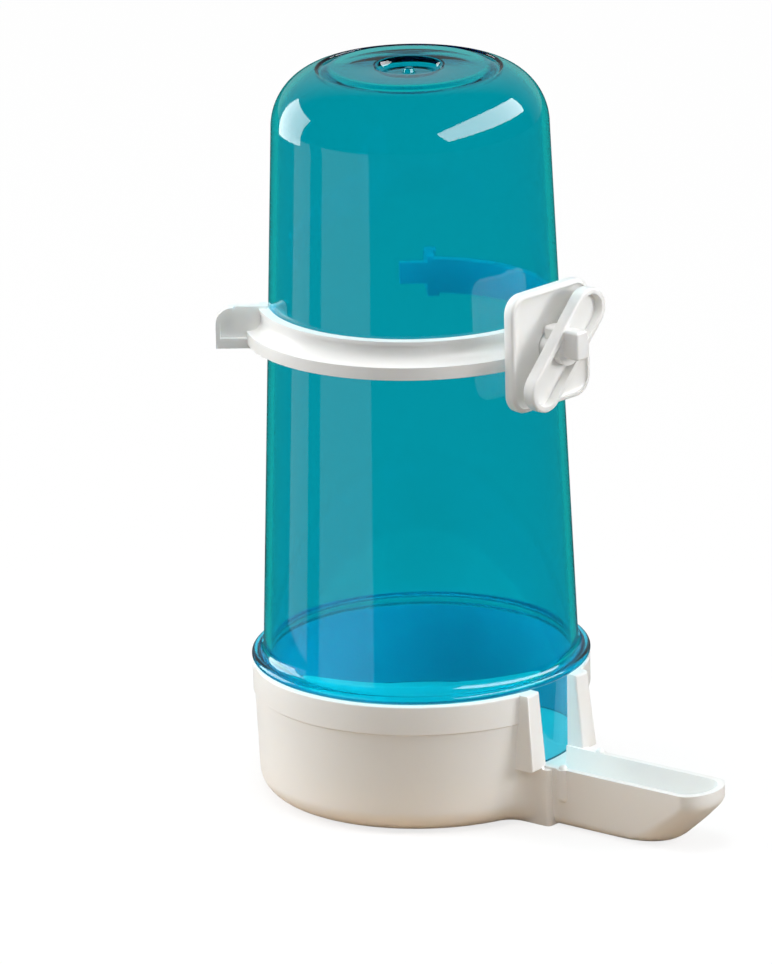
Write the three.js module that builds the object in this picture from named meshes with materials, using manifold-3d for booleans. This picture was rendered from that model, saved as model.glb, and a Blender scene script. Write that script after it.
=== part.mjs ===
// Siphon drinker for cage birds: a white base tray with a drinking trough, a tinted reservoir whose
// open mouth stands in the tray, and a white spring clip with a turning latch that holds it on cage wires.
// Millimetres, +Z up. The origin is the centre of the tray's flat underside, +X points along the trough.
import * as THREE from "three";
import { mergeVertices } from "three/addons/utils/BufferGeometryUtils.js";
import Module from "manifold-3d";

const wasm = await Module();
wasm.setup();

// Base tray
const trayHeight = 28;
const trayRadius = 34.9;
const trayWall = 1.3;
const trayFloor = 1.6;
const rimBandHeight = 6;
const rimBandStep = 0.35;
const trayDraft = 0.7;
const footFillet = 5;
const insideFillet = 3.7;
const rimRound = 0.4;

// Drinking trough, one moulding with the tray
const troughRimHeight = 12.6;
const troughLength = 40.3;
const troughWidth = 14;
const troughWall = 1.4;
const troughFloor = 1.9;
const troughNose = 5;
const noseSpread = 4;
const troughDraft = 0.5;
const bilgeRadius = 2;
const chinLength = 10.4;
const chinBelowRim = 2.8;
const chinCurve = 1.15;
const ribFromRoot = 2.4;
const ribWidth = 2.8;
const ribLength = 7.4;
const ribProud = 0.65;
const ribNub = 0.9;

// Pilasters that frame the opening in the tray's wall
const openingInset = 0.8;
const pilasterWidth = 4.1;
const pilasterProud = 0.4;
const pilasterSpread = 0.7;
const pilasterLean = 1.6;
const pilasterDrop = 0.5;
const rootLength = 1.8;
const rootProud = 1.1;
const rootRound = 1;
const rootBlend = 6;
const blendRise = 4;
const blendTip = 0.5;
const cornerRound = 0.5;

// Reservoir
const overallHeight = 153.8;
const reservoirWall = 1.5;
const flangeOverhang = 0.1;
const flangeThickness = 1.7;
const flangeFillet = 2.8;
const skirtGap = 0.35;
const skirtDraft = 0.15;
const skirtBelowRim = 1.6;
const seatGap = 0.3;
const wallInset = 2.45;
const wallTaper = 4.05;
const shoulderRadius = 12.4;
const crestDrop = 0.2;
const plateauRadius = 18;
const plateauStep = 1;
const plateauDraft = 0.7;
const plateauLand = 1;
const gateRadius = 5.7;
const gateDepth = 1.6;
const gateDraft = 0.6;
const gateNubRadius = 1.3;
const gateNubTip = 0.8;
const gateNubHeight = 1.1;

// Clip
const clipHeight = 97.3;
const bandHeight = 7.3;
const bandWeb = 1.5;
const bandGap = 0.3;
const bandLip = 0.3;
const bandLipHeight = 0.8;
const bandFillet = 2.5;
const ledgeReach = 2.9;
const ledgeHeight = 2.6;
const armAngle = 128;
const tongueLength = 6.3;
const tongueHeight = 4.5;
const tongueRise = 2;
const flareLength = 10.7;
const flareLean = 10;
const flareRise = 0.5;
const flareDrop = 0.8;
const flareCorner = 3.6;
const flareRim = 0.9;
const flareRimProud = 1;
const flareLedge = 2.1;
const clipTurn = -5.7;

// Wire plate on the clip
const plateWidth = 23;
const plateTall = 24.8;
const plateCorner = 4;
const plateThickness = 2.7;
const plateStandOff = 5.3;
const plateAboveBand = 4.2;
const plateEdge = 0.7;
const dishRim = 0.9;
const dishDepth = 1;
const bridgeSpacing = 12.4;
const bridgeWall = 1.7;

// Turning latch
const latchLength = 28.3;
const latchWidth = 8.9;
const latchThickness = 2.9;
const latchEdge = 0.5;
const wireGap = 2;
const latchRim = 1.2;
const pocketDepth = 1.7;
const hubRadius = 3.1;
const gripWidth = 3.4;
const gripHeight = 6;
const gripProud = 3.6;
const gripRaise = 1.6;
const gripCorner = 0.7;
const stemRadius = 2.6;
const stemGap = 0.3;
const snapProud = 0.8;
const snapLength = 1.9;
const snapSlot = 1.2;
const snapLead = 0.4;
const latchTurn = 47;

// Facets in a full turn, in a small round hole or stem, in a rib, and in a quarter turn of a rounding
const turnSteps = 72;
const stemSteps = 24;
const ribSteps = 12;
const roundSteps = 5;

// How far a cut runs past the faces that it opens
const cutPast = 2;

const rad = THREE.MathUtils.degToRad;
const point = (x, y) => new THREE.Vector2(x, y);

// Points of an arc about (x, y), both ends included.
function arc(x, y, radius, from, to, steps = roundSteps) {
  const points = [];
  for (let i = 0; i <= steps; i++) {
    const angle = rad(from + ((to - from) * i) / steps);
    points.push(point(x + radius * Math.cos(angle), y + radius * Math.sin(angle)));
  }
  return points;
}

// A closed geometry as a solid that can be joined and cut.
function solid(geometry) {
  const bare = geometry.index ? geometry.toNonIndexed() : geometry.clone();
  bare.deleteAttribute("normal");
  bare.deleteAttribute("uv");
  const merged = mergeVertices(bare, 1e-4);
  const corners = [];
  const index = merged.index.array;
  for (let i = 0; i < index.length; i += 3) {
    const [a, b, c] = index.slice(i, i + 3);
    if (a !== b && b !== c && c !== a) corners.push(a, b, c);
  }
  const vertProperties = new Float32Array(merged.attributes.position.array);
  const triVerts = new Uint32Array(corners);
  return new wasm.Manifold(new wasm.Mesh({ numProp: 3, vertProperties, triVerts }));
}

// Points of a full circle.
function circle(x, y, radius, steps = stemSteps) {
  return arc(x, y, radius, 0, 360 - 360 / steps, steps - 1);
}

// A solid as a geometry for a mesh.
function geometryOf(shape) {
  const mesh = shape.getMesh();
  const geometry = new THREE.BufferGeometry();
  geometry.setAttribute("position", new THREE.BufferAttribute(new Float32Array(mesh.vertProperties), 3));
  geometry.setIndex(new THREE.BufferAttribute(new Uint32Array(mesh.triVerts), 1));
  geometry.computeVertexNormals();
  return geometry;
}

// A profile of (radius, height) points turned about Z. The profile runs anticlockwise.
function revolve(profile) {
  const geometry = new THREE.LatheGeometry(profile, turnSteps);
  geometry.rotateX(Math.PI / 2);
  return solid(geometry);
}

// A small ball about a point.
function ball(x, y, z, radius) {
  const geometry = new THREE.SphereGeometry(radius, ribSteps, ribSteps / 2);
  geometry.rotateX(Math.PI / 2);
  geometry.translate(x, y, z);
  return solid(geometry);
}

// An outline in the XY plane raised from one height to another.
function raise(outline, low, high) {
  const geometry = new THREE.ExtrudeGeometry(new THREE.Shape(outline), {
    depth: high - low,
    bevelEnabled: false,
    curveSegments: roundSteps,
  });
  geometry.translate(0, 0, low);
  return solid(geometry);
}

// An outline of (y, z) points pushed along X from near to far, then spun about X. Its ends are rounded
// over an edge's depth, and drawn in there by a sweep.
function push(outline, near, far, edge = 0, spin = 0, sweep = edge) {
  const geometry = new THREE.ExtrudeGeometry(new THREE.Shape(outline), {
    depth: far - near - 2 * edge,
    bevelEnabled: edge > 0,
    bevelThickness: edge,
    bevelSize: sweep,
    bevelOffset: -sweep,
    bevelSegments: 3,
  });
  geometry.rotateX(Math.PI / 2);
  geometry.rotateZ(Math.PI / 2);
  geometry.translate(near + edge, 0, 0);
  geometry.rotateX(rad(spin));
  return solid(geometry);
}

// A skin through rings of points, lowest first, each anticlockwise from above, closed by flat caps.
function loft(rings) {
  const count = rings[0].length;
  const position = rings.flat().flatMap((p) => [p.x, p.y, p.z]);
  const index = [];
  for (let k = 0; k + 1 < rings.length; k++) {
    for (let i = 0; i < count; i++) {
      const a = k * count + i;
      const b = k * count + ((i + 1) % count);
      index.push(a, b, b + count, a, b + count, a + count);
    }
  }
  const top = (rings.length - 1) * count;
  for (let i = 1; i + 1 < count; i++) {
    index.push(0, i + 1, i, top, top + i, top + i + 1);
  }
  const geometry = new THREE.BufferGeometry();
  geometry.setAttribute("position", new THREE.Float32BufferAttribute(position, 3));
  geometry.setIndex(index);
  return solid(geometry);
}

// A rectangle with rounded corners, anticlockwise.
function roundedBox(x0, x1, y0, y1, radius) {
  return [
    ...arc(x1 - radius, y0 + radius, radius, -90, 0),
    ...arc(x1 - radius, y1 - radius, radius, 0, 90),
    ...arc(x0 + radius, y1 - radius, radius, 90, 180),
    ...arc(x0 + radius, y0 + radius, radius, 180, 270),
  ];
}

const box = (x0, x1, y0, y1, z0, z1) =>
  raise([point(x0, y0), point(x1, y0), point(x1, y1), point(x0, y1)], z0, z1);

// Heights and radii that the pieces share
const bandFoot = trayHeight - rimBandHeight;
const bodyRadius = trayRadius - rimBandStep;
const footRadius = bodyRadius - trayDraft;
const trayBore = trayRadius - trayWall;
const skirtRadius = trayBore - skirtGap;
const flangeFoot = trayHeight + seatGap;
const flangeTop = flangeFoot + flangeThickness;
const flangeRadius = trayRadius + flangeOverhang;
const wallFoot = flangeTop + flangeFillet;
const wallTop = overallHeight - crestDrop - shoulderRadius;
const wallFootRadius = trayRadius - wallInset;
const wallTopRadius = wallFootRadius - wallTaper;
const wallRadius = (z) =>
  wallFootRadius + ((wallTopRadius - wallFootRadius) * (z - wallFoot)) / (wallTop - wallFoot);

const troughReach = trayRadius + troughLength;
const chinHeight = troughRimHeight - chinBelowRim;

// The hull of the trough at one height, drawn in by an inset: straight sides and a rounded tip.
function hullRing(z, root, inset, floor) {
  const depth = z - floor;
  const bilge = Math.max(bilgeRadius - inset, rimRound);
  const sunk = Math.max(bilge - depth, 0);
  const tuck = bilge - Math.sqrt(bilge * bilge - sunk * sunk);
  const half = troughWidth / 2 - inset - (troughDraft * (troughRimHeight - z)) / troughRimHeight - tuck;
  const climb = Math.min(depth / (chinHeight - floor), 1);
  const tip = troughReach - inset - chinLength * (1 - climb) ** chinCurve - tuck;
  const nose = troughNose - inset / 2 + noseSpread * (1 - climb);
  const ring = [new THREE.Vector3(root, half, z), new THREE.Vector3(root, -half, z)];
  for (let i = 0; i <= 2 * roundSteps; i++) {
    const angle = rad(-90 + (180 * i) / (2 * roundSteps));
    ring.push(new THREE.Vector3(tip - nose + nose * Math.cos(angle), half * Math.sin(angle), z));
  }
  return ring;
}

// The hull from its floor to its rim, with closer rings near the floor, carried straight up to a top.
function hull(root, inset, floor, top) {
  const rings = [];
  for (let k = 0; k <= 2 * roundSteps; k++) {
    const level = (k / (2 * roundSteps)) ** 1.7;
    rings.push(hullRing(floor + (troughRimHeight - floor) * level, root, inset, floor));
  }
  if (top > troughRimHeight) {
    rings.push(rings.at(-1).map((p) => new THREE.Vector3(p.x, p.y, top)));
  }
  return loft(rings);
}

// The hollow fillet between the tray's wall and one side of the trough's root, at one height.
function blendRing(z, radius, rootY, side) {
  const wall = footRadius - footFillet;
  const sunk = Math.max(footFillet - z, 0);
  const tray = wall + Math.sqrt(footFillet * footFillet - sunk * sunk);
  const y = rootY + radius;
  const x = Math.sqrt((tray + radius) ** 2 - y * y);
  const start = 180 - THREE.MathUtils.radToDeg(Math.atan(y / x));
  const hollow = arc(x, -y, radius, start, 90);
  const back = hollow[0].x - trayWall;
  const rest = [point(back, hollow[0].y), ...hollow, point(x, -rootY + rootRound)];
  if (side > 0) rest.reverse();
  return [point(back, -rootY + rootRound), ...rest].map((p) => new THREE.Vector3(p.x, -side * p.y, z));
}

// Base tray: the body with its trough, pilasters and ribs, less the bore, the trough and the opening.
function baseTray() {
  const outside = [
    point(0, 0),
    ...arc(footRadius - footFillet, footFillet, footFillet, -90, 0),
    point(bodyRadius, bandFoot - rimBandStep),
    point(trayRadius, bandFoot),
    ...arc(trayRadius - rimRound, trayHeight - rimRound, rimRound, 0, 90, 2),
    point(0, trayHeight),
  ];
  const boreFoot = footRadius - trayWall;
  const boreBend = troughRimHeight - skirtBelowRim - seatGap;
  const inside = [
    point(0, trayFloor),
    ...arc(boreFoot - insideFillet, trayFloor + insideFillet, insideFillet, -90, 0, 4),
    point(trayBore - skirtDraft, boreBend),
    point(trayBore, trayHeight),
    point(trayBore, trayHeight + cutPast),
    point(0, trayHeight + cutPast),
  ];
  let body = revolve(outside);
  body = body.add(hull(trayBore - trayWall, 0, 0, troughRimHeight));

  const ledge = troughRimHeight - pilasterDrop;
  const inner = troughWidth / 2 - openingInset;
  const rootX = trayRadius + pilasterProud + pilasterLean + rootLength;
  const rootY = troughWidth / 2 + rootProud;
  body = body.add(raise(roundedBox(trayBore - pilasterWidth, rootX, -rootY, rootY, rootRound), 0, ledge));
  const ribX = rootX + ribFromRoot;
  for (const side of [-1, 1]) {
    const blend = [];
    for (let i = 0; i <= roundSteps; i++) {
      const z = footFillet * (1 - Math.cos(rad((90 * i) / roundSteps)));
      blend.push(blendRing(z, rootBlend, rootY, side));
    }
    blend.push(blendRing(ledge, rootBlend, rootY, side));
    blend.push(blendRing(ledge + blendRise, blendTip, rootY, side));
    body = body.add(loft(blend));

    const frame = (z, reach, width) => {
      const y0 = side > 0 ? inner : -inner - width;
      const ring = roundedBox(trayBore - pilasterWidth, reach, y0, y0 + width, cornerRound);
      return ring.map((p) => new THREE.Vector3(p.x, p.y, z));
    };
    const reach = trayRadius + pilasterProud;
    const foot = frame(ledge, reach + pilasterLean, pilasterWidth + pilasterSpread);
    body = body.add(loft([foot, frame(trayHeight, reach, pilasterWidth)]));

    const wallY = side * (troughWidth / 2 - ribWidth / 2 + ribProud);
    const ribFoot = troughRimHeight - ribLength + ribWidth / 2;
    body = body.add(raise(circle(ribX, wallY, ribWidth / 2, ribSteps), ribFoot, troughRimHeight));
    body = body.add(ball(ribX, wallY, ribFoot, ribWidth / 2));
    const nubY = side * (troughWidth / 2 - troughWall / 2);
    body = body.add(ball(ribX, nubY, troughRimHeight, ribNub));
  }
  body = body.subtract(revolve(inside));
  const cutRoot = trayBore - pilasterWidth - troughWidth / 2;
  const trough = hull(cutRoot, troughWall, troughFloor, troughRimHeight + cutPast);
  const opening = box(cutRoot, rootX, -inner, inner, troughRimHeight, trayHeight + cutPast);
  return body.subtract(trough).subtract(opening);
}

// Reservoir: one profile turned about Z, open at the skirt's foot.
function reservoir() {
  const lip = flangeThickness / 2;
  const skirtFoot = troughRimHeight - skirtBelowRim;
  const fillet = [];
  for (let i = 0; i <= 3; i++) {
    const angle = rad((90 * i) / 3);
    const reach = flangeRadius - lip - wallFootRadius;
    const x = wallFootRadius + reach * (1 - Math.sin(angle));
    fillet.push(point(x, flangeTop + flangeFillet * (1 - Math.cos(angle))));
  }
  const shoulderX = wallTopRadius - shoulderRadius;
  const landing = Math.max((plateauRadius + plateauLand - shoulderX) / shoulderRadius, 0);
  const shoulderEnd = THREE.MathUtils.radToDeg(Math.acos(landing));
  const innerTop = overallHeight - reservoirWall;
  const gateFloor = overallHeight - gateDepth;
  const innerShoulder = shoulderRadius - reservoirWall;
  const outer = [
    point(skirtRadius - reservoirWall, skirtFoot),
    point(skirtRadius - skirtDraft, skirtFoot),
    point(skirtRadius, flangeFoot),
    ...arc(flangeRadius - lip, flangeFoot + lip, lip, -90, 90, 4),
    ...fillet.slice(1),
    ...arc(shoulderX, wallTop, shoulderRadius, 0, shoulderEnd, 7),
    point(plateauRadius + plateauDraft, overallHeight - plateauStep),
    point(plateauRadius, overallHeight),
    point(gateRadius + gateDraft, overallHeight),
    point(gateRadius, gateFloor),
    point(gateNubRadius, gateFloor),
    point(gateNubTip, gateFloor + gateNubHeight),
    point(0, gateFloor + gateNubHeight),
  ];
  const inner = [
    point(0, gateFloor - reservoirWall),
    point(gateRadius + reservoirWall - gateDraft, gateFloor - reservoirWall),
    point(gateRadius + reservoirWall, innerTop),
    point(shoulderX, innerTop),
    ...arc(shoulderX, wallTop, innerShoulder, 84, 0, 6),
    point(wallFootRadius - reservoirWall, wallFoot),
    point(skirtRadius - reservoirWall, flangeFoot),
  ];
  return revolve([...outer, ...inner, outer[0]]);
}

// Clip, made about the plate's normal as +X: the sprung band, its flared ends, the bridges and the plate.
const bandTop = clipHeight + bandHeight;
const bandBore = (z) => wallRadius(z) + bandGap;
const webRadius = bandBore(clipHeight) + bandWeb;
const ledgeRadius = webRadius + ledgeReach;
const plateBack = bandBore(clipHeight) + plateStandOff;
const plateFace = plateBack + plateThickness;
const plateHeight = clipHeight + plateAboveBand;

// A wedge about Z between two angles, which parts a ring.
function wedge(from, to) {
  const outline = [point(0, 0), ...arc(0, 0, 2 * ledgeRadius, from, to, 8)];
  return raise(outline, clipHeight - bandHeight, bandTop + bandHeight);
}

// A flared end of the band, drawn along +X from the band's end and then turned to its arm.
function flare(outline, depth, side) {
  const geometry = new THREE.ExtrudeGeometry(new THREE.Shape(outline), { depth, bevelEnabled: false });
  geometry.rotateX(Math.PI / 2);
  geometry.translate(0, side > 0 ? 0 : depth, 0);
  geometry.rotateZ(rad(side * (armAngle + flareLean)));
  const end = rad(side * armAngle);
  const radius = bandBore(bandTop);
  geometry.translate(radius * Math.cos(end), radius * Math.sin(end), 0);
  return solid(geometry);
}

function clip() {
  const core = wallRadius(bandTop);
  const band = revolve([
    point(core, clipHeight),
    point(ledgeRadius, clipHeight),
    point(ledgeRadius, clipHeight + ledgeHeight),
    ...arc(webRadius + bandFillet, clipHeight + ledgeHeight + bandFillet, bandFillet, 270, 180, 5),
    point(webRadius, bandTop - bandLipHeight),
    point(webRadius + bandLip, bandTop - bandLipHeight),
    point(webRadius + bandLip, bandTop),
    point(core, bandTop),
    point(core, clipHeight),
  ]);
  const tongueFoot = clipHeight + tongueRise;
  const tongueTop = tongueFoot + tongueHeight;
  const tongue = revolve([
    point(core, tongueFoot),
    point(webRadius, tongueFoot),
    point(webRadius, tongueTop),
    point(core, tongueTop),
    point(core, tongueFoot),
  ]);
  const tongueAngle = armAngle + THREE.MathUtils.radToDeg(tongueLength / webRadius);
  let body = band.subtract(wedge(armAngle, 360 - armAngle));
  body = body.add(tongue.subtract(wedge(tongueAngle, 360 - tongueAngle)));

  const flareFoot = clipHeight - flareDrop;
  const flareTop = bandTop + flareRise;
  const bend = point(flareLength - flareCorner, flareTop - flareCorner);
  const panel = [
    point(0, flareFoot),
    point(flareLength, flareFoot),
    ...arc(bend.x, bend.y, flareCorner, 0, 90),
    point(0, flareTop),
  ];
  const rim = [
    point(0, flareFoot),
    point(flareLength, flareFoot),
    ...arc(bend.x, bend.y, flareCorner, 0, 90),
    ...arc(bend.x, bend.y, flareCorner - flareRim, 90, 0),
    point(flareLength - flareRim, flareFoot + flareLedge),
    point(0, flareFoot + flareLedge),
  ];
  for (const side of [-1, 1]) {
    body = body.add(flare(panel, bandWeb, side));
    body = body.add(flare(rim, bandWeb + flareRimProud, side));
  }

  const wide = plateWidth / 2;
  const tall = plateTall / 2;
  const plate = (inset) => {
    const y = wide - inset;
    const z = tall - inset;
    return roundedBox(-y, y, plateHeight - z, plateHeight + z, plateCorner - inset);
  };
  const gap = bridgeSpacing / 2 - bridgeWall;
  const pocket = box(core, plateBack, -gap, gap, clipHeight - bandHeight, bandTop + bandHeight);
  const hub = revolve([
    point(0, clipHeight - bandHeight),
    point(webRadius, clipHeight - bandHeight),
    point(webRadius, bandTop + bandHeight),
    point(0, bandTop + bandHeight),
  ]);
  for (const side of [-1, 1]) {
    const y = (side * (bridgeSpacing - bridgeWall)) / 2;
    const reach = plateBack + plateThickness / 2;
    body = body.add(box(core, reach, y - bridgeWall / 2, y + bridgeWall / 2, clipHeight, bandTop));
  }
  body = body.subtract(pocket.subtract(hub));
  body = body.add(push(plate(0), plateBack, plateFace, plateEdge));
  const dishSweep = 0.8 * (plateCorner - dishRim);
  const dishFar = plateFace + dishDepth + cutPast;
  body = body.subtract(push(plate(dishRim), plateFace - dishDepth, dishFar, dishDepth, 0, dishSweep));
  const hole = circle(0, plateHeight, stemRadius + stemGap);
  body = body.subtract(push(hole, plateBack - cutPast, plateFace + cutPast));
  const bore = revolve([
    point(0, clipHeight - bandHeight),
    point(bandBore(clipHeight - bandHeight), clipHeight - bandHeight),
    point(bandBore(bandTop + bandHeight), bandTop + bandHeight),
    point(0, bandTop + bandHeight),
  ]);
  return body.subtract(bore);
}

// Latch, made about its pivot as +X with its length along Y: zero is the plate's face.
function latch() {
  const back = wireGap;
  const front = wireGap + latchThickness;
  const oval = (inset) => {
    const radius = latchWidth / 2 - inset;
    const centre = (latchLength - latchWidth) / 2;
    return [...arc(centre, 0, radius, -90, 90, 8), ...arc(-centre, 0, radius, 90, 270, 8)];
  };
  let body = push(oval(0), back, front, latchEdge);
  body = body.subtract(push(oval(latchRim), front - pocketDepth, front + pocketDepth));
  const seat = seatGap - dishDepth;
  body = body.add(push(circle(0, 0, hubRadius), back, front));
  const gripFoot = gripRaise - gripHeight / 2;
  const grip = roundedBox(-gripWidth / 2, gripWidth / 2, gripFoot, gripFoot + gripHeight, gripCorner);
  body = body.add(push(grip, seat, front + gripProud, latchEdge, -latchTurn));

  const shoulder = -plateThickness - stemGap;
  const tail = shoulder - snapLength;
  const stem = new THREE.LatheGeometry(
    [
      point(0, tail),
      point(stemRadius - snapLead, tail),
      point(stemRadius + snapProud, shoulder - snapLength / 3),
      point(stemRadius + snapProud, shoulder),
      point(stemRadius, shoulder),
      point(stemRadius, back),
      point(0, back),
    ],
    stemSteps,
  );
  stem.rotateZ(-Math.PI / 2);
  body = body.add(solid(stem));
  const slotEnd = -plateThickness / 2;
  const slotWidth = 2 * stemRadius;
  return body.subtract(box(tail - cutPast, slotEnd, -slotWidth, slotWidth, -snapSlot / 2, snapSlot / 2));
}

const white = { color: 0xf1efe9, roughness: 0.38, metalness: 0 };
const tint = { color: 0x0098b4, roughness: 0.12, metalness: 0, transparent: true, opacity: 0.75 };

function piece(name, shape, finish) {
  const mesh = new THREE.Mesh(geometryOf(shape), new THREE.MeshStandardMaterial(finish));
  mesh.name = name;
  return mesh;
}

const latchPivot = new THREE.Group();
latchPivot.position.set(plateFace, 0, plateHeight);
latchPivot.rotation.x = rad(latchTurn);
latchPivot.add(piece("turn_latch", latch(), white));

const clipSwivel = new THREE.Group();
clipSwivel.rotation.z = rad(clipTurn);
clipSwivel.add(piece("clip", clip(), white), latchPivot);

const drinker = new THREE.Group();
drinker.add(piece("base_tray", baseTray(), white), piece("reservoir", reservoir(), tint), clipSwivel);

export default drinker;
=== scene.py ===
# Looks of the siphon bird drinker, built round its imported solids.
# Shapes are drawn in millimetres in the part's own frame and brought to metres when a piece is finished.
import math

import bmesh
import bpy
from mathutils import Matrix, Vector


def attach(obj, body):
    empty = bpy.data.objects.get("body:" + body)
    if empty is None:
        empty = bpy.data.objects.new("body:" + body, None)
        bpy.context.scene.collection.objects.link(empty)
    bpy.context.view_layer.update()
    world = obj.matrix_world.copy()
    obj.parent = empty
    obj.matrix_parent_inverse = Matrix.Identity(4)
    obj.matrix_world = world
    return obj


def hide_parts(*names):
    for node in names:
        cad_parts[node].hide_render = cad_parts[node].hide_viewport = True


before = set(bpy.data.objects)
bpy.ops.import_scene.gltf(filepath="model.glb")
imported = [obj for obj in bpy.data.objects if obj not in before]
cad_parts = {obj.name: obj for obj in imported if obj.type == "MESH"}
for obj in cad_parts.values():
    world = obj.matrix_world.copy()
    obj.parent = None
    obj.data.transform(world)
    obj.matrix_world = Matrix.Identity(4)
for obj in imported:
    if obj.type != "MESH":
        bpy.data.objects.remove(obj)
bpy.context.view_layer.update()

MM = 0.001

# Base tray
tray_height = 28.0
tray_radius = 34.9
tray_wall = 1.3
tray_floor = 1.6
rim_band_height = 6.0
rim_band_step = 0.35
tray_draft = 0.7
foot_fillet = 5.0
inside_fillet = 3.7
rim_round = 0.4

# Drinking trough, one moulding with the tray
trough_rim_height = 12.6
trough_length = 40.3
trough_width = 14.0
trough_wall = 1.4
trough_floor = 1.9
trough_nose = 5.0
nose_spread = 4.0
trough_draft = 0.5
bilge_radius = 2.0
hull_crowding = 1.7
chin_length = 10.4
chin_below_rim = 2.8
chin_curve = 1.15
rib_from_root = 2.4
rib_width = 2.8
rib_length = 7.4
rib_proud = 0.65
rib_nub = 0.9

# Pilasters beside the opening above the trough
opening_inset = 0.8
pilaster_width = 4.1
pilaster_proud = 0.4
pilaster_spread = 0.7
pilaster_lean = 1.6
pilaster_drop = 0.5
root_length = 1.8
root_proud = 1.1
root_round = 1.0
root_blend = 6.0
blend_rise = 4.0
blend_tip = 0.5
corner_round = 0.5

# Reservoir
overall_height = 153.8
reservoir_wall = 1.5
flange_overhang = 0.1
flange_thickness = 1.7
flange_fillet = 2.8
skirt_gap = 0.35
skirt_draft = 0.15
skirt_below_rim = 1.6
seat_gap = 0.3
wall_inset = 2.45
wall_taper = 4.05
shoulder_radius = 12.4
inner_shoulder_end = 84.0
crest_drop = 0.2
plateau_radius = 18.0
plateau_step = 1.0
plateau_draft = 0.7
plateau_land = 1.0
plateau_ease = 2.6
gate_radius = 5.7
gate_depth = 1.6
gate_draft = 0.6
gate_ease = 1.2
gate_nub_radius = 1.3
gate_nub_tip = 0.8
gate_nub_height = 1.1

# Clip
clip_height = 97.3
band_height = 7.3
band_web = 1.5
band_gap = 0.3
band_lip = 0.3
band_lip_height = 0.8
band_fillet = 2.5
ledge_reach = 2.9
ledge_height = 2.6
arm_angle = 128.0
tongue_length = 6.3
tongue_height = 4.5
tongue_rise = 2.0
flare_length = 10.7
flare_lean = 10.0
flare_rise = 0.5
flare_drop = 0.8
flare_corner = 3.6
flare_rim = 0.9
flare_rim_proud = 1.0
flare_ledge = 2.1
clip_turn = -5.7

# Wire plate on the clip
plate_width = 23.0
plate_tall = 24.8
plate_corner = 4.0
plate_thickness = 2.7
plate_stand_off = 5.3
plate_above_band = 4.2
plate_edge = 0.7
dish_rim = 0.9
dish_depth = 1.0
dish_share = 0.8
bridge_spacing = 12.4
bridge_wall = 1.7

# Turning latch
latch_length = 28.3
latch_width = 8.9
latch_thickness = 2.9
latch_edge = 0.5
wire_gap = 2.0
latch_rim = 1.2
pocket_depth = 1.7
hub_radius = 3.1
grip_width = 3.4
grip_height = 6.0
grip_proud = 3.6
grip_raise = 1.6
grip_corner = 0.7
stem_radius = 2.6
stem_gap = 0.3
snap_proud = 0.8
snap_length = 1.9
snap_slot = 1.2
snap_lead = 0.4
latch_turn = 47.0

# Finish of edges in millimetres and degrees, and facets of round shapes
edge_round = 0.25
soft_round = 0.4
round_over_angle = 38.0
sharp_angle = 32.0
cut_past = 2.0
merge_distance = 1e-4
turn_steps = 180
stem_steps = 40
round_steps = 8
edge_steps = 4
grip_steps = 3
finish_steps = 2

# How strongly both plastics bend light
plastic_index = 1.49

# White plastic, with scales in patterns per metre and depths in metres
white_low = (0.885, 0.885, 0.865, 1)
white_high = (0.925, 0.925, 0.91, 1)
mottle_scale = 60
satin_low = 0.3
satin_high = 0.42
satin_scale = 400
grain_scale = 2500
grain_strength = 0.05
grain_depth = 0.0001
scatter_share = 0.12
scatter_spread = (1.0, 0.85, 0.7)
scatter_depth = 0.002

# Tinted plastic, in the same units
tint_at_faces = (0.01, 0.61, 0.78, 1)
tint_inside = (0.0, 0.883, 0.925, 1)
tint_density = 250.0
haze_low = 0.02
haze_high = 0.06
haze_scale = 90
flow_scale = 70
flow_detail = 2.0
flow_strength = 0.06
flow_depth = 0.0005

# Floor and world, with lengths in metres
white = (1, 1, 1, 1)
# The background's tone where it is seen through the plastic
backdrop = (0.97, 0.88, 0.66, 1)
# How much of the white floor, and of the white sky behind the object, reflections show
floor_reflected = 0.02
sky_reflected = 0.3
# How squarely a direction faces the sky behind the object where reflections begin to show it, and where
# they show it most
backdrop_edge = 0.5
backdrop_full = 0.9
# How much of the seen floor is plain white, far from the object and under it
shown_far = 0.985
shown_near = 0.68
# The floor's colour far from the object, the painted warm pool of light under the object that throws warm
# bounce up, and how far that pool reaches
floor_far = (0.2, 0.2, 0.2, 1)
floor_painted_glow = (0.7, 0.5, 0.32, 1)
glow_radius = 0.18
floor_half = 4
floor_roughness = 0.9
# The even light that the world gives, and how often light may turn inside the plastic
world_light = 0.2
light_bounces = 32

# Lamps, with lengths in metres: those that light dull surfaces stand behind those that show in the gloss
light_distance = 0.75
shine_distance = 0.7
card_distance = 0.2
card_elevation = -3
card_height = 0.125

# The photograph's viewing angle, and its frame in pixels
view_azimuth = 38.3
view_elevation = 17.31
view_roll = -1.273
view_distance = 1944.4
view_target = (-5.11, -4.04, 65.26)
focal_pixels = 9455.6
picture_height = 964
sensor_width = 36

# Sizes that the pieces share
band_foot = tray_height - rim_band_height
body_radius = tray_radius - rim_band_step
foot_radius = body_radius - tray_draft
tray_bore = tray_radius - tray_wall
trough_reach = tray_radius + trough_length
chin_height = trough_rim_height - chin_below_rim
opening_half = trough_width / 2 - opening_inset
ledge = trough_rim_height - pilaster_drop
pilaster_back = tray_bore - pilaster_width
pilaster_reach = tray_radius + pilaster_proud
root_x = pilaster_reach + pilaster_lean + root_length
skirt_radius = tray_bore - skirt_gap
flange_foot = tray_height + seat_gap
flange_top = flange_foot + flange_thickness
flange_radius = tray_radius + flange_overhang
wall_foot = flange_top + flange_fillet
wall_top = overall_height - crest_drop - shoulder_radius
wall_foot_radius = tray_radius - wall_inset
wall_top_radius = wall_foot_radius - wall_taper
band_top = clip_height + band_height


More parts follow.
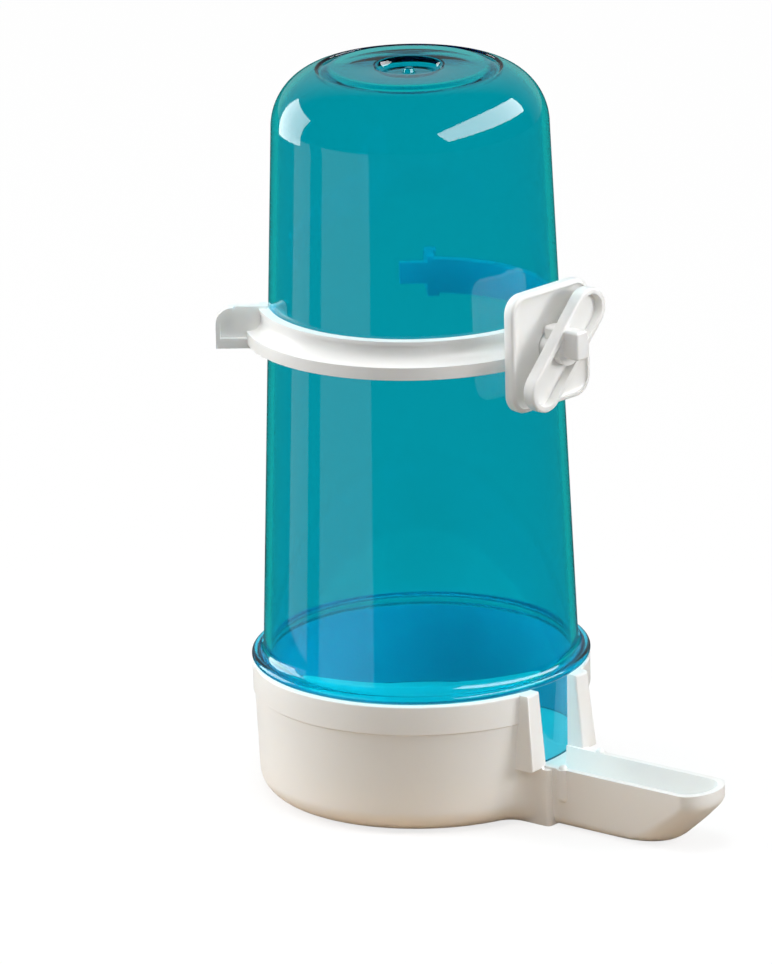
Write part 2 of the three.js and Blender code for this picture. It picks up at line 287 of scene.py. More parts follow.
def wall_radius(z):
    """The outer radius of the reservoir's tapered wall at a height."""
    return wall_foot_radius - wall_taper * (z - wall_foot) / (wall_top - wall_foot)


def band_bore(z):
    """The inner radius of the clip's band at a height."""
    return wall_radius(z) + band_gap


web_radius = band_bore(clip_height) + band_web
ledge_radius = web_radius + ledge_reach
plate_back = band_bore(clip_height) + plate_stand_off
plate_face = plate_back + plate_thickness
plate_height = clip_height + plate_above_band


# Outlines

def arc(x, y, radius, start, end, steps=round_steps):
    """Points of an arc about (x, y), both ends included."""
    points = []
    for i in range(steps + 1):
        angle = math.radians(start + (end - start) * i / steps)
        points.append((x + radius * math.cos(angle), y + radius * math.sin(angle)))
    return points


def circle(x, y, radius):
    """Points of a full circle."""
    return arc(x, y, radius, 0, 360 - 360 / stem_steps, stem_steps - 1)


def rounded_box(x0, x1, y0, y1, radius):
    """A rectangle with rounded corners, anticlockwise."""
    return [
        *arc(x1 - radius, y0 + radius, radius, -90, 0),
        *arc(x1 - radius, y1 - radius, radius, 0, 90),
        *arc(x0 + radius, y1 - radius, radius, 90, 180),
        *arc(x0 + radius, y0 + radius, radius, 180, 270),
    ]


def eased_step(r0, z0, r1, z1, steps):
    """Points of a step in a (radius, height) profile that starts and ends level."""
    points = []
    for i in range(steps + 1):
        part = i / steps
        points.append((r0 + (r1 - r0) * part, z0 + (z1 - z0) * (1 - math.cos(math.pi * part)) / 2))
    return points


# Mesh helpers

def to_object(name, bm):
    """A finished bmesh as an object, with its faces turned outwards."""
    bmesh.ops.recalc_face_normals(bm, faces=bm.faces)
    mesh = bpy.data.meshes.new(name)
    bm.to_mesh(mesh)
    bm.free()
    obj = bpy.data.objects.new(name, mesh)
    bpy.context.collection.objects.link(obj)
    return obj


def turned(name, profile, start=0.0, sweep=360.0, steps=turn_steps):
    """A profile of (radius, height) points spun about Z. It closes on itself or ends on the axis."""
    bm = bmesh.new()
    verts = [bm.verts.new((r, 0, z)) for r, z in profile]
    edges = [bm.edges.new(pair) for pair in zip(verts, verts[1:])]
    if profile[0][0] > 0 or profile[-1][0] > 0:
        edges.append(bm.edges.new((verts[-1], verts[0])))
    bmesh.ops.rotate(bm, verts=verts, cent=(0, 0, 0), matrix=Matrix.Rotation(math.radians(start), 3, "Z"))
    whole = sweep >= 360
    bmesh.ops.spin(
        bm, geom=verts + edges, axis=(0, 0, 1), cent=(0, 0, 0), angle=math.radians(sweep), steps=steps,
        use_merge=whole,
    )
    bmesh.ops.remove_doubles(bm, verts=bm.verts, dist=merge_distance)
    bmesh.ops.dissolve_degenerate(bm, edges=bm.edges, dist=merge_distance)
    bmesh.ops.delete(bm, geom=[e for e in bm.edges if not e.link_faces], context="EDGES")
    if not whole:
        bmesh.ops.edgeloop_fill(bm, edges=[e for e in bm.edges if e.is_boundary])
    return to_object(name, bm)


def prism(outline, low, high):
    """A bmesh of an outline in the XY plane extruded from one height to another."""
    bm = bmesh.new()
    face = bm.faces.new([bm.verts.new((x, y, low)) for x, y in outline])
    raised = bmesh.ops.extrude_face_region(bm, geom=[face])["geom"]
    top = [v for v in raised if isinstance(v, bmesh.types.BMVert)]
    bmesh.ops.translate(bm, verts=top, vec=(0, 0, high - low))
    bmesh.ops.recalc_face_normals(bm, faces=bm.faces)
    return bm


def end_faces(bm, height):
    """The flat faces of a prism at one height."""
    return [f for f in bm.faces if all(abs(v.co.z - height) < merge_distance for v in f.verts)]


def round_edges(bm, edges, radius, segments=edge_steps):
    """Rounds some edges of a bmesh."""
    bmesh.ops.bevel(
        bm, geom=edges, offset=radius, offset_type="OFFSET", affect="EDGES", segments=segments, profile=0.5,
        clamp_overlap=True, material=-1,
    )


def upright(bm):
    """Stands a prism drawn along Z on the plate: its outline's x and y become Y and Z, its height X."""
    turn = Matrix(((0, 0, 1), (1, 0, 0), (0, 1, 0)))
    bmesh.ops.transform(bm, matrix=turn.to_4x4(), verts=bm.verts)


def block(name, x0, x1, y0, y1, z0, z1):
    """A box between two corners."""
    bm = bmesh.new()
    bmesh.ops.create_cube(bm, size=1)
    bmesh.ops.scale(bm, vec=(x1 - x0, y1 - y0, z1 - z0), verts=bm.verts)
    bmesh.ops.translate(bm, vec=((x0 + x1) / 2, (y0 + y1) / 2, (z0 + z1) / 2), verts=bm.verts)
    return to_object(name, bm)


def lofted(name, outlines):
    """A closed shape through outlines of equally many points, each given with its height."""
    bm = bmesh.new()
    rings = []
    for outline, z in outlines:
        verts = [bm.verts.new((x, y, z)) for x, y in outline]
        rings.append([bm.edges.new(pair) for pair in zip(verts, verts[1:] + verts[:1])])
    for lower, upper in zip(rings, rings[1:]):
        bmesh.ops.bridge_loops(bm, edges=lower + upper)
    for end in (rings[0], rings[-1]):
        bmesh.ops.edgeloop_fill(bm, edges=end)
    return to_object(name, bm)


def ball(name, x, y, z, radius):
    """A small ball about a point."""
    bm = bmesh.new()
    bmesh.ops.create_uvsphere(bm, u_segments=stem_steps, v_segments=stem_steps // 2, radius=radius)
    bmesh.ops.translate(bm, vec=(x, y, z), verts=bm.verts)
    return to_object(name, bm)


def combine(body, joins=(), cuts=()):
    """Joins pieces to a body, then cuts others out of it."""
    for operation, tools in (("UNION", joins), ("DIFFERENCE", cuts)):
        for tool in tools:
            step = body.modifiers.new(operation.lower(), "BOOLEAN")
            step.operation = operation
            step.solver = "MANIFOLD"
            step.object = tool
    depsgraph = bpy.context.evaluated_depsgraph_get()
    mesh = bpy.data.meshes.new_from_object(body.evaluated_get(depsgraph))
    body.modifiers.clear()
    body.data = mesh
    for tool in (*joins, *cuts):
        bpy.data.objects.remove(tool)
    return body


def finish_piece(obj, body, node, material, rounding, place=Matrix()):
    """Puts a piece in its place in metres, rounds and smooths it, and ties it to its solid."""
    obj.data.transform(Matrix.Scale(MM, 4) @ place)
    bevel = obj.modifiers.new("rounding", "BEVEL")
    bevel.width = rounding * MM
    bevel.segments = finish_steps
    bevel.limit_method = "ANGLE"
    bevel.angle_limit = math.radians(round_over_angle)
    bevel.use_clamp_overlap = True
    obj.data.shade_smooth()
    obj.data.set_sharp_from_angle(angle=math.radians(sharp_angle))
    obj.data.materials.clear()
    obj.data.materials.append(material)
    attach(obj, body)
    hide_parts(node)


# Materials

def new_material(name):
    """A material with its nodes, its links and its main shader."""
    material = bpy.data.materials.new(name)
    material.use_nodes = True
    nodes = material.node_tree.nodes
    return material, nodes, material.node_tree.links, nodes["Principled BSDF"]


def noise(nodes, links, scale, detail=3.0):
    """A noise pattern on Object coordinates, whose scale is in patterns per metre."""
    place = nodes.new("ShaderNodeTexCoord")
    pattern = nodes.new("ShaderNodeTexNoise")
    pattern.inputs["Scale"].default_value = scale
    pattern.inputs["Detail"].default_value = detail
    links.new(place.outputs["Object"], pattern.inputs["Vector"])
    return pattern.outputs["Fac"]


def ranged(nodes, links, source, low, high):
    """A pattern brought into a range."""
    spread = nodes.new("ShaderNodeMapRange")
    spread.inputs["To Min"].default_value = low
    spread.inputs["To Max"].default_value = high
    links.new(source, spread.inputs["Value"])
    return spread.outputs["Result"]


def worked(nodes, links, operation, first, second):
    """The outcome of a Math node on two sockets or plain numbers."""
    node = nodes.new("ShaderNodeMath")
    node.operation = operation
    for source, socket in zip((first, second), node.inputs):
        if isinstance(source, float):
            socket.default_value = source
        else:
            links.new(source, socket)
    return node.outputs["Value"]


def toned(nodes, links, factor, low, high):
    """A colour that goes from one tone to another with a factor. The first may be a socket."""
    node = nodes.new("ShaderNodeMix")
    node.data_type = "RGBA"
    if isinstance(low, tuple):
        node.inputs["A"].default_value = low
    else:
        links.new(low, node.inputs["A"])
    node.inputs["B"].default_value = high
    links.new(factor, node.inputs["Factor"])
    return node.outputs["Result"]


def uneven(nodes, links, pattern, strength, depth, shader):
    """Gives a shader's surface a faint relief."""
    relief = nodes.new("ShaderNodeBump")
    relief.inputs["Strength"].default_value = strength
    relief.inputs["Distance"].default_value = depth
    links.new(pattern, relief.inputs["Height"])
    links.new(relief.outputs["Normal"], shader.inputs["Normal"])


def white_moulding():
    """Opaque white plastic with a faint grain and a satin shine."""
    material, nodes, links, shader = new_material("white_moulding")
    tone = toned(nodes, links, noise(nodes, links, mottle_scale), white_low, white_high)
    links.new(tone, shader.inputs["Base Color"])
    satin = ranged(nodes, links, noise(nodes, links, satin_scale), satin_low, satin_high)
    links.new(satin, shader.inputs["Roughness"])
    uneven(nodes, links, noise(nodes, links, grain_scale), grain_strength, grain_depth, shader)
    shader.inputs["IOR"].default_value = plastic_index
    shader.inputs["Subsurface Weight"].default_value = scatter_share
    shader.inputs["Subsurface Radius"].default_value = scatter_spread
    shader.inputs["Subsurface Scale"].default_value = scatter_depth
    return material


def tinted_moulding():
    """Clear plastic, coloured at its faces and a little through its thickness, with faint flow marks."""
    material, nodes, links, shader = new_material("tinted_moulding")
    shader.inputs["Base Color"].default_value = tint_at_faces
    shader.inputs["Transmission Weight"].default_value = 1.0
    shader.inputs["IOR"].default_value = plastic_index
    haze = ranged(nodes, links, noise(nodes, links, haze_scale), haze_low, haze_high)
    links.new(haze, shader.inputs["Roughness"])
    flow = noise(nodes, links, flow_scale, flow_detail)
    uneven(nodes, links, flow, flow_strength, flow_depth, shader)
    tint = nodes.new("ShaderNodeVolumeAbsorption")
    tint.inputs["Color"].default_value = tint_inside
    tint.inputs["Density"].default_value = tint_density
    links.new(tint.outputs["Volume"], nodes["Material Output"].inputs["Volume"])
    return material


# Base tray

def trough_hull(name, root, inset, floor, top):
    """The trough's boat shape, drawn in by an inset: rings from its floor up to its rim, then to a top."""
    levels = 3 * round_steps
    climbs = [(k / levels) ** hull_crowding for k in range(levels + 1)]
    heights = [floor + (trough_rim_height - floor) * climb for climb in climbs]
    if top > trough_rim_height:
        heights.append(top)
    rings = []
    for z in heights:
        depth = min(z, trough_rim_height) - floor
        bilge = max(bilge_radius - inset, rim_round)
        sunk = max(bilge - depth, 0)
        tuck = bilge - math.sqrt(bilge**2 - sunk**2)
        draft = trough_draft * (trough_rim_height - min(z, trough_rim_height)) / trough_rim_height
        half = trough_width / 2 - inset - draft - tuck
        climb = min(depth / (chin_height - floor), 1)
        tip = trough_reach - inset - chin_length * (1 - climb) ** chin_curve - tuck
        nose = trough_nose - inset / 2 + nose_spread * (1 - climb)
        outline = [(root, half), (root, -half)]
        for x, y in arc(0, 0, 1, -90, 90, 3 * round_steps):
            outline.append((tip - nose + nose * x, half * y))
        rings.append((outline, z))
    return lofted(name, rings)


def pilaster(side):
    """A bar beside the opening: a box whose front leans and whose outer side spreads towards its foot."""
    bm = bmesh.new()
    bmesh.ops.create_cube(bm, size=1)
    for vert in bm.verts:
        at_foot = vert.co.z < 0
        reach = pilaster_reach + (pilaster_lean if at_foot else 0)
        width = pilaster_width + (pilaster_spread if at_foot else 0)
        x = reach if vert.co.x > 0 else pilaster_back
        y = opening_half + (width if vert.co.y > 0 else 0)
        vert.co = (x, y * side, ledge if at_foot else tray_height)
    front = [e for e in bm.edges if all(v.co.x > pilaster_back + merge_distance for v in e.verts)]
    bmesh.ops.recalc_face_normals(bm, faces=bm.faces)
    round_edges(bm, front, corner_round)
    return to_object("pilaster", bm)


def root_fillet(root_y, side):
    """The hollow fillet between the tray's wall and one side of the trough's root, faded out at its top."""
    levels = []
    for i in range(2 * round_steps + 1):
        turn = math.radians(45 * i / round_steps)
        levels.append((foot_fillet * (1 - math.cos(turn)), root_blend))
    levels += [(ledge, root_blend), (ledge + blend_rise, blend_tip)]
    rings = []
    for z, radius in levels:
        sunk = max(foot_fillet - z, 0)
        tray = foot_radius - foot_fillet + math.sqrt(foot_fillet**2 - sunk**2)
        y = root_y + radius
        x = math.sqrt((tray + radius)**2 - y**2)
        hollow = arc(x, -y, radius, 180 - math.degrees(math.atan(y / x)), 90, 2 * round_steps)
        back = hollow[0][0] - tray_wall
        inner = root_round - root_y
        outline = [(back, inner), (back, hollow[0][1]), *hollow, (x, inner)]
        rings.append(([(px, -side * py) for px, py in outline], z))
    return lofted("root_fillet", rings)


def base_tray():
    """The tray with its trough, pilasters and ribs, as one moulding."""
    outside = [
        (0, 0),
        *arc(foot_radius - foot_fillet, foot_fillet, foot_fillet, -90, 0, 2 * round_steps),
        (body_radius, band_foot - rim_band_step),
        (tray_radius, band_foot),
        *arc(tray_radius - rim_round, tray_height - rim_round, rim_round, 0, 90),
        (0, tray_height),
    ]
    bore_foot = foot_radius - tray_wall
    bore_bend = trough_rim_height - skirt_below_rim - seat_gap
    inside = [
        (0, tray_floor),
        *arc(bore_foot - inside_fillet, tray_floor + inside_fillet, inside_fillet, -90, 0),
        (tray_bore - skirt_draft, bore_bend),
        (tray_bore, tray_height),
        (tray_bore, tray_height + cut_past),
        (0, tray_height + cut_past),
    ]
    root_y = trough_width / 2 + root_proud
    root = prism(rounded_box(pilaster_back, root_x, -root_y, root_y, root_round), 0, ledge)
    joins = [
        trough_hull("hull", tray_bore - tray_wall, 0, 0, trough_rim_height),
        to_object("root", root),
    ]
    rib_x = root_x + rib_from_root
    for side in (-1, 1):
        rib_y = side * (trough_width / 2 - rib_width / 2 + rib_proud)
        rib_foot = trough_rim_height - rib_length + rib_width / 2
        rib = prism(circle(rib_x, rib_y, rib_width / 2), rib_foot, trough_rim_height)
        rib_end = ball("rib_end", rib_x, rib_y, rib_foot, rib_width / 2)
        nub_y = side * (trough_width / 2 - trough_wall / 2)
        nub = ball("nub", rib_x, nub_y, trough_rim_height, rib_nub)
        joins += [root_fillet(root_y, side), pilaster(side), to_object("rib", rib), rib_end, nub]
    cut_root = pilaster_back - trough_width / 2
    cut_top = tray_height + cut_past
    cuts = [
        turned("bore", inside),
        trough_hull("trough", cut_root, trough_wall, trough_floor, trough_rim_height + cut_past),
        block("opening", cut_root, root_x, -opening_half, opening_half, trough_rim_height, cut_top),
    ]
    return combine(turned("base_tray_look", outside), joins, cuts)


# Reservoir

def reservoir():
    """The inverted cup, spun from one profile: up the outside from the skirt's foot and down the inside."""
    lip = flange_thickness / 2
    skirt_foot = trough_rim_height - skirt_below_rim
    reach = flange_radius - lip - wall_foot_radius
    fillet = []
    for x, z in arc(0, 0, 1, 90, 0)[1:]:
        fillet.append((wall_foot_radius + reach * (1 - z), flange_top + flange_fillet * (1 - x)))
    fillet.reverse()
    shoulder_x = wall_top_radius - shoulder_radius
    landing = max((plateau_radius + plateau_land - shoulder_x) / shoulder_radius, 0)
    shoulder_end = math.degrees(math.acos(landing))
    rise_foot = plateau_radius + plateau_draft
    rise_top = plateau_radius - plateau_ease
    rise = eased_step(rise_foot, overall_height - plateau_step, rise_top, overall_height, 2 * round_steps)
    inner_top = overall_height - reservoir_wall
    gate_floor = overall_height - gate_depth
    gate_mouth = gate_radius + gate_draft + gate_ease
    dip = eased_step(gate_mouth, overall_height, gate_radius, gate_floor, round_steps)
    inner_shoulder = shoulder_radius - reservoir_wall
    outer = [
        (skirt_radius - reservoir_wall, skirt_foot),
        (skirt_radius - skirt_draft, skirt_foot),
        (skirt_radius, flange_foot),
        *arc(flange_radius - lip, flange_foot + lip, lip, -90, 90, 2 * round_steps),
        *fillet,
        *arc(shoulder_x, wall_top, shoulder_radius, 0, shoulder_end, 4 * round_steps),
        *rise,
        *dip,
        (gate_nub_radius, gate_floor),
        (gate_nub_tip, gate_floor + gate_nub_height),
        (0, gate_floor + gate_nub_height),
    ]
    inner = [
        (0, gate_floor - reservoir_wall),
        (gate_radius + reservoir_wall - gate_draft, gate_floor - reservoir_wall),
        (gate_radius + reservoir_wall, inner_top),
        (shoulder_x, inner_top),
        *arc(shoulder_x, wall_top, inner_shoulder, inner_shoulder_end, 0, 3 * round_steps),
        (wall_foot_radius - reservoir_wall, wall_foot),
        (skirt_radius - reservoir_wall, flange_foot),
    ]
    return turned("reservoir_look", outer + inner, steps=2 * turn_steps)


# Clip

def flare(name, outline, depth, side):
    """A flared arm end, drawn along +X from the band's end and then turned to its arm."""
    bm = prism(outline, 0, depth)
    bmesh.ops.rotate(bm, verts=bm.verts, cent=(0, 0, 0), matrix=Matrix.Rotation(math.pi / 2, 3, "X"))
    bmesh.ops.translate(bm, verts=bm.verts, vec=(0, 0 if side > 0 else depth, 0))
    lean = Matrix.Rotation(math.radians(side * (arm_angle + flare_lean)), 3, "Z")
    bmesh.ops.rotate(bm, verts=bm.verts, cent=(0, 0, 0), matrix=lean)
    end = math.radians(side * arm_angle)
    radius = band_bore(band_top)
    bmesh.ops.translate(bm, verts=bm.verts, vec=(radius * math.cos(end), radius * math.sin(end), 0))
    return to_object(name, bm)


def wire_plate():
    """The rounded square plate with its dished face, standing with its normal along +X."""
    dish_sweep = dish_share * (plate_corner - dish_rim)
    wide = plate_width / 2
    tall = plate_tall / 2
    outline = rounded_box(-wide, wide, plate_height - tall, plate_height + tall, plate_corner)
    bm = prism(outline, plate_back, plate_face)
    ends = end_faces(bm, plate_back) + end_faces(bm, plate_face)
    round_edges(bm, list({e for f in ends for e in f.edges}), plate_edge)
    face = max(bm.faces, key=lambda f: f.calc_center_median().z)
    bmesh.ops.inset_region(bm, faces=[face], thickness=dish_rim - plate_edge, use_even_offset=True)
    sweep = arc(dish_sweep, dish_depth, 1, 180, 270)
    for (x0, y0), (x1, y1) in zip(sweep, sweep[1:]):
        inward = (x1 - x0) * dish_sweep
        sink = (y0 - y1) * dish_depth
        bmesh.ops.inset_region(bm, faces=[face], thickness=inward, depth=-sink, use_even_offset=True)
    upright(bm)
    return to_object("plate", bm)


def clip():
    """The C-shaped band with its arm ends, the bridges and the wire plate."""
    core = wall_radius(band_top)
    profile = [
        (core, clip_height),
        (ledge_radius, clip_height),
        (ledge_radius, clip_height + ledge_height),
        *arc(web_radius + band_fillet, clip_height + ledge_height + band_fillet, band_fillet, 270, 180),
        (web_radius, band_top - band_lip_height),
        (web_radius + band_lip, band_top - band_lip_height),
        (web_radius + band_lip, band_top),
        (core, band_top),
    ]
    tongue_foot = clip_height + tongue_rise
    tongue_top = tongue_foot + tongue_height
    tongue_face = web_radius - edge_round
    tongue = [(core, tongue_foot), (tongue_face, tongue_foot), (tongue_face, tongue_top), (core, tongue_top)]
    tongue_angle = arm_angle + math.degrees(tongue_length / web_radius)
    band = turned("clip_look", profile, -arm_angle, 2 * arm_angle)
    joins = [turned("tongue", tongue, -tongue_angle, 2 * tongue_angle)]

    flare_foot = clip_height - flare_drop
    flare_top = band_top + flare_rise
    bend = (flare_length - flare_corner, flare_top - flare_corner)
    panel = [
        (0, flare_foot),
        (flare_length, flare_foot),
        *arc(*bend, flare_corner, 0, 90),
        (0, flare_top),
    ]
    rim = [
        (0, flare_foot),
        (flare_length, flare_foot),
        *arc(*bend, flare_corner, 0, 90),
        *arc(*bend, flare_corner - flare_rim, 90, 0),
        (flare_length - flare_rim, flare_foot + flare_ledge),
        (0, flare_foot + flare_ledge),
    ]
    for side in (-1, 1):
        joins.append(flare("panel", panel, band_web, side))
        joins.append(flare("rim", rim, band_web + flare_rim_proud, side))
        y = side * (bridge_spacing - bridge_wall) / 2
        reach = plate_back + plate_thickness / 2
        half = bridge_wall / 2
        joins.append(block("bridge", core, reach, y - half, y + half, clip_height, band_top))

    gap = bridge_spacing / 2 - bridge_wall
    low = clip_height - band_height
    high = band_top + band_height
    hole_outline = circle(0, plate_height, stem_radius + stem_gap)
    hole = prism(hole_outline, plate_back - cut_past, plate_face + cut_past)
    upright(hole)
    bore = [(0, low), (band_bore(low), low), (band_bore(high), high), (0, high)]
    pocket = block("pocket", web_radius, plate_back, -gap, gap, low, high)
    band = combine(band, joins, [pocket])
    return combine(band, [wire_plate()], [to_object("hole", hole), turned("bore", bore)])


# Latch

def latch():
    """The latch about its pivot as +X with its length along Y: zero is the plate's face."""
    back = wire_gap
    front = wire_gap + latch_thickness
    radius = latch_width / 2
    centre = (latch_length - latch_width) / 2
    outline = [
        *arc(centre, 0, radius, -90, 90, 3 * round_steps),
        *arc(-centre, 0, radius, 90, 270, 3 * round_steps),
    ]
    bm = prism(outline, back, front)
    ends = end_faces(bm, back) + end_faces(bm, front)
    round_edges(bm, list({e for f in ends for e in f.edges}), latch_edge)
    face = max(bm.faces, key=lambda f: f.calc_center_median().z)
    bmesh.ops.inset_region(bm, faces=[face], thickness=latch_rim - latch_edge, use_even_offset=True)
    bmesh.ops.inset_region(bm, faces=[face], thickness=edge_round, depth=-pocket_depth, use_even_offset=True)
    upright(bm)
    body = to_object("turn_latch_look", bm)

    hub = prism(circle(0, 0, hub_radius), back, front)
    upright(hub)
    seat = seat_gap - dish_depth
    grip_foot = grip_raise - grip_height / 2
    grip_half = grip_width / 2
    grip_outline = rounded_box(-grip_half, grip_half, grip_foot, grip_foot + grip_height, grip_corner)
    grip = prism(grip_outline, seat, front + grip_proud)
    ends = end_faces(grip, seat) + end_faces(grip, front + grip_proud)
    round_edges(grip, list({e for f in ends for e in f.edges}), latch_edge, grip_steps)
    upright(grip)
    back_turn = Matrix.Rotation(math.radians(-latch_turn), 3, "X")
    bmesh.ops.rotate(grip, verts=grip.verts, cent=(0, 0, 0), matrix=back_turn)

    shoulder = -plate_thickness - stem_gap
    tail = shoulder - snap_length
    stem_profile = [
        (0, tail),
        (stem_radius - snap_lead, tail),
        (stem_radius + snap_proud, shoulder - snap_length / 3),
        (stem_radius + snap_proud, shoulder),
        (stem_radius, shoulder),
        (stem_radius, back),
        (0, back),
    ]
    stem = turned("stem", stem_profile, steps=stem_steps)
    stem.data.transform(Matrix.Rotation(math.pi / 2, 4, "Y"))
    slot_end = -plate_thickness / 2
    slot_half = 2 * stem_radius
    slot = block("slot", tail - cut_past, slot_end, -slot_half, slot_half, -snap_slot / 2, snap_slot / 2)
    return combine(body, [to_object("hub", hub), to_object("grip", grip), stem], [slot])


white_plastic = white_moulding()
tinted_plastic = tinted_moulding()
swivel = Matrix.Rotation(math.radians(clip_turn), 4, "Z")
latch_seat = Matrix.Translation((plate_face, 0, plate_height))
pivot = swivel @ latch_seat @ Matrix.Rotation(math.radians(latch_turn), 4, "X")
finish_piece(base_tray(), "base", "base_tray", white_plastic, edge_round)
bottle = reservoir()
finish_piece(bottle, "reservoir", "reservoir", tinted_plastic, soft_round)
# The light of the lamps gets through the clear plastic
bottle.visible_shadow = False
finish_piece(clip(), "clip", "clip", white_plastic, edge_round, swivel)
finish_piece(latch(), "latch", "turn_latch", white_plastic, edge_round, pivot)


# Stage, light and camera

def backdrop_share(nodes, links):
    """One for directions towards the backdrop behind the object, falling to nothing at its sides."""
    place = nodes.new("ShaderNodeTexCoord")
    facing = nodes.new("ShaderNodeVectorMath")
    facing.operation = "DOT_PRODUCT"
    turn = math.radians(view_azimuth)
    facing.inputs[1].default_value = (-math.sin(turn), math.cos(turn), 0)
    links.new(place.outputs["Generated"], facing.inputs[0])
    fade = nodes.new("ShaderNodeMapRange")
    fade.inputs["From Min"].default_value = backdrop_edge
    fade.inputs["From Max"].default_value = backdrop_full
    links.new(facing.outputs["Value"], fade.inputs["Value"])
    return fade.outputs["Result"]


def seen_share(nodes, links, path, reflected, part=None):
    """One for rays that see the background straight or through the plastic, a small share in reflections."""
    glossy = path.outputs["Is Glossy Ray"]
    if part:
        glossy = worked(nodes, links, "MULTIPLY", glossy, part)
    dimmed = worked(nodes, links, "MULTIPLY", glossy, reflected)
    through = worked(nodes, links, "MAXIMUM", dimmed, path.outputs["Is Transmission Ray"])
    return worked(nodes, links, "MAXIMUM", through, path.outputs["Is Camera Ray"])


def show_backdrop(nodes, links, path, seen, shown):
    """Lights a shader that shows the background: white, and cream where it is seen through clear plastic."""
    tone = toned(nodes, links, path.outputs["Is Transmission Ray"], white, backdrop)
    links.new(tone, shown.inputs["Color"])
    links.new(seen, shown.inputs["Strength"])


def mixed(nodes, links, share, first, second, surface):
    """Joins two shaders by a share and gives them to a surface."""
    mix = nodes.new("ShaderNodeMixShader")
    links.new(share, mix.inputs["Fac"])
    links.new(first, mix.inputs[1])
    links.new(second, mix.inputs[2])
    links.new(mix.outputs["Shader"], surface)


def stage_floor():
    """A pale floor that shows white, keeps the shadow and throws a warm light up from a painted warm pool of
    light under the object.
    """
    bm = bmesh.new()
    bmesh.ops.create_grid(bm, x_segments=1, y_segments=1, size=floor_half)
    floor = to_object("floor", bm)
    material, nodes, links, shader = new_material("pale_floor")
    shader.inputs["Roughness"].default_value = floor_roughness
    shader.inputs["Specular IOR Level"].default_value = 0.0
    path = nodes.new("ShaderNodeLightPath")
    seen = seen_share(nodes, links, path, floor_reflected)
    place = nodes.new("ShaderNodeTexCoord")
    spread = nodes.new("ShaderNodeVectorMath")
    spread.operation = "SCALE"
    spread.inputs["Scale"].default_value = 1 / glow_radius
    links.new(place.outputs["Object"], spread.inputs[0])
    glow = nodes.new("ShaderNodeTexGradient")
    glow.gradient_type = "SPHERICAL"
    links.new(spread.outputs["Vector"], glow.inputs["Vector"])
    # Painted light: the floor's colour turns from grey to warm under the object, a pool of warm light that
    # reaches the object as bounce
    painted_glow_tone = toned(nodes, links, glow.outputs["Fac"], floor_far, floor_painted_glow)
    links.new(toned(nodes, links, seen, painted_glow_tone, white), shader.inputs["Base Color"])
    shown = nodes.new("ShaderNodeEmission")
    show_backdrop(nodes, links, path, seen, shown)
    lit = worked(nodes, links, "MAXIMUM", path.outputs["Is Glossy Ray"], seen)
    plain = ranged(nodes, links, glow.outputs["Fac"], shown_far, shown_near)
    share = worked(nodes, links, "MULTIPLY", lit, plain)
    surface = nodes["Material Output"].inputs["Surface"]
    mixed(nodes, links, share, shader.outputs["BSDF"], shown.outputs["Emission"], surface)
    floor.data.materials.append(material)


def white_world():
    """An even world that shows as white and lights the object softly."""
    world = bpy.data.worlds.new("studio")
    bpy.context.scene.world = world
    world.use_nodes = True
    nodes = world.node_tree.nodes
    links = world.node_tree.links
    soft = nodes["Background"]
    soft.inputs["Color"].default_value = white
    soft.inputs["Strength"].default_value = world_light
    path = nodes.new("ShaderNodeLightPath")
    seen = seen_share(nodes, links, path, sky_reflected, backdrop_share(nodes, links))
    shown = nodes.new("ShaderNodeBackground")
    show_backdrop(nodes, links, path, seen, shown)
    share = worked(nodes, links, "MAXIMUM", path.outputs["Is Glossy Ray"], seen)
    surface = nodes["World Output"].inputs["Surface"]
    mixed(nodes, links, share, soft.outputs["Background"], shown.outputs["Background"], surface)


def softbox(name, azimuth, elevation, distance, width, height, strength):
    """A rectangular lamp that faces the object. Its azimuth is counted from the camera, to the right."""
    lamp = bpy.data.lights.new(name, "AREA")
    lamp.shape = "RECTANGLE"
    lamp.size = width
    lamp.size_y = height
    lamp.energy = strength
    obj = bpy.data.objects.new(name, lamp)
    bpy.context.collection.objects.link(obj)
    turn = math.radians(view_azimuth + azimuth)
    rise = math.radians(elevation)
    middle = Vector((0, 0, overall_height / 2 * MM))
    away = Vector((math.sin(turn) * math.cos(rise), -math.cos(turn) * math.cos(rise), math.sin(rise)))
    obj.location = middle + away * distance
    obj.rotation_euler = away.to_track_quat("Z", "Y").to_euler()
    obj.visible_camera = False
    obj.visible_transmission = False
    return obj


def light(lamp):
    """Makes a lamp light dull surfaces alone."""
    lamp.visible_glossy = False
    # With it, part of the light on what stands behind the clear plastic would be lost
    lamp.data.cycles.use_multiple_importance_sampling = False


def shine(lamp):
    """Makes a lamp show in the gloss alone."""
    lamp.visible_diffuse = False


def fill(name, azimuth, elevation, distance, size, strength):
    """A square lamp that lights dull surfaces alone."""
    light(softbox(name, azimuth, elevation, distance, size, size, strength))


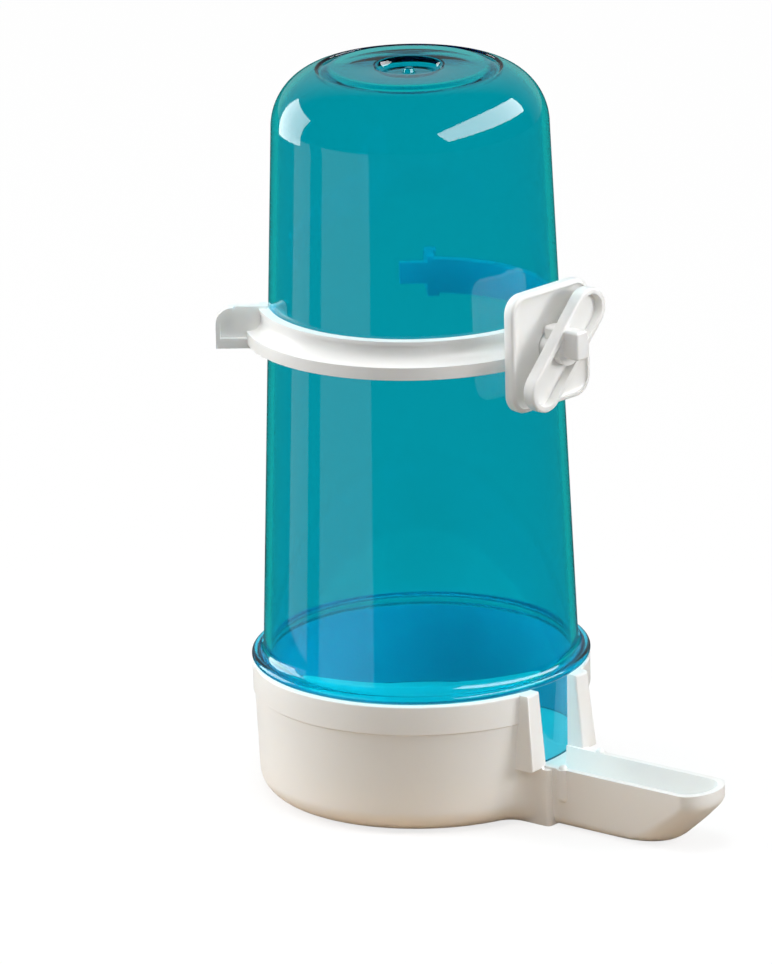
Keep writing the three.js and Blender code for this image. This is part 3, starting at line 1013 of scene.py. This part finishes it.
def card(name, azimuth, width, strength):
    """A faint card close to the object that shows in the gloss alone."""
    shine(softbox(name, azimuth, card_elevation, card_distance, width, card_height, strength))


def studio_lamp(name, azimuth, elevation, width, height, strength, shine_strength):
    """A large lamp in two parts, of which one lights dull surfaces and the other shows in the gloss."""
    light(softbox(name + "_light", azimuth, elevation, light_distance, width, height, strength))
    shine(softbox(name + "_shine", azimuth, elevation, shine_distance, width, height, shine_strength))


def lamps():
    """Every lamp, with angles in degrees and lengths in metres."""
    fill("left_fill", azimuth=-94, elevation=22, distance=0.8, size=0.4, strength=3.3)
    fill("right_fill", azimuth=76, elevation=14, distance=0.34, size=0.12, strength=0.56)
    fill("top_fill", azimuth=6, elevation=78, distance=0.6, size=0.25, strength=1.6)
    fill("front_fill", azimuth=4, elevation=30, distance=0.8, size=0.4, strength=0.75)
    studio_lamp("left", azimuth=-118, elevation=10, width=0.45, height=0.5, strength=3.2, shine_strength=4.0)
    studio_lamp("right", azimuth=75, elevation=38, width=1.2, height=0.28, strength=0.9, shine_strength=9.0)
    card("wide_card", azimuth=-53, width=0.15, strength=0.038)
    card("slim_card", azimuth=-95, width=0.07, strength=0.018)


def camera():
    """A camera at the photograph's viewing angle, whose sensor spans the picture's height."""
    lens = bpy.data.cameras.new("camera")
    lens.sensor_width = sensor_width
    lens.lens = focal_pixels / picture_height * sensor_width
    obj = bpy.data.objects.new("camera", lens)
    bpy.context.collection.objects.link(obj)
    turn = Matrix.Rotation(math.radians(view_azimuth), 4, "Z")
    tilt = Matrix.Rotation(math.radians(90 - view_elevation), 4, "X")
    roll = Matrix.Rotation(math.radians(view_roll), 4, "Z")
    back = Matrix.Translation((0, 0, view_distance * MM))
    target = Matrix.Translation(Vector(view_target) * MM)
    obj.matrix_world = target @ turn @ tilt @ back @ roll
    bpy.context.scene.camera = obj


stage_floor()
white_world()
lamps()
camera()
bpy.context.scene.view_settings.view_transform = "Standard"
bpy.context.scene.cycles.max_bounces = light_bounces
bpy.context.scene.cycles.glossy_bounces = light_bounces
bpy.context.scene.cycles.transmission_bounces = light_bounces
